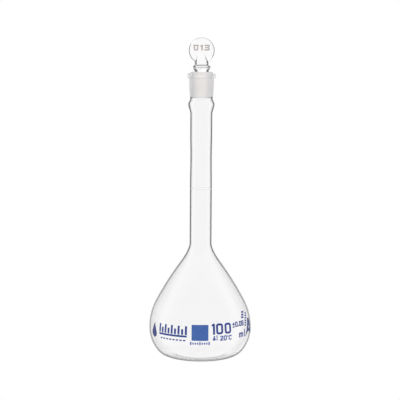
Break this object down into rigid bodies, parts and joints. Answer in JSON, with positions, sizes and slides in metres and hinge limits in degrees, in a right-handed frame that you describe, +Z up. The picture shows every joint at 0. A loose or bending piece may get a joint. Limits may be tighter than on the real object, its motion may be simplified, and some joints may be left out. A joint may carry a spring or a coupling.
{
  "type": "volumetric flask",
  "caption": "Flat-footed pear-shaped glass volumetric flask with a long narrow neck, a graduation ring and a ground-glass penny-head stopper that turns and lifts out.",
  "frame": {"origin": "centre of the foot, in the plane the flask stands on", "axes": "+Z up along the flask's axis; the printed marks face -Y and are read with +X to the right"},
  "size_m": [0.0598, 0.0599, 0.1857],
  "materials": {
    "clear_glass": "fire-polished clear borosilicate glass",
    "stopper_glass": "pressed clear borosilicate glass, solid",
    "ground_glass": "fine-ground frosted glass",
    "blue_enamel": null,
    "ring_stain": "thin fired-on grey ring",
    "etched_mark": "sandblasted and stained size mark"
  },
  "bodies": {
    "flask": {"flask_body": "clear_glass", "socket_ground_band": "ground_glass", "graduation_ring": "ring_stain", "marking_patch": "blue_enamel", "patch_rule": "blue_enamel", "capacity_figure": "blue_enamel", "capacity_unit": "blue_enamel", "tolerance_mark": "blue_enamel", "temperature_mark": "blue_enamel", "class_mark": "blue_enamel", "plain_rule_mark": "blue_enamel", "droplet_mark": "blue_enamel", "batch_bars": "blue_enamel"},
    "stopper_carrier": {"stopper_ground_band": "ground_glass"},
    "stopper": {"stopper": "stopper_glass", "stopper_size_mark": "etched_mark"}
  },
  "joints": [
    {"name": "stopper_lift", "type": "slide", "parent": "flask", "child": "stopper_carrier", "axis": [0, 0, 1], "range_m": [0, 0.03]},
    {"name": "stopper_turn", "type": "hinge", "parent": "stopper_carrier", "child": "stopper", "pos_m": [0, 0, 0.1585], "axis": [0, 0, 1], "continuous": true}
  ]
}
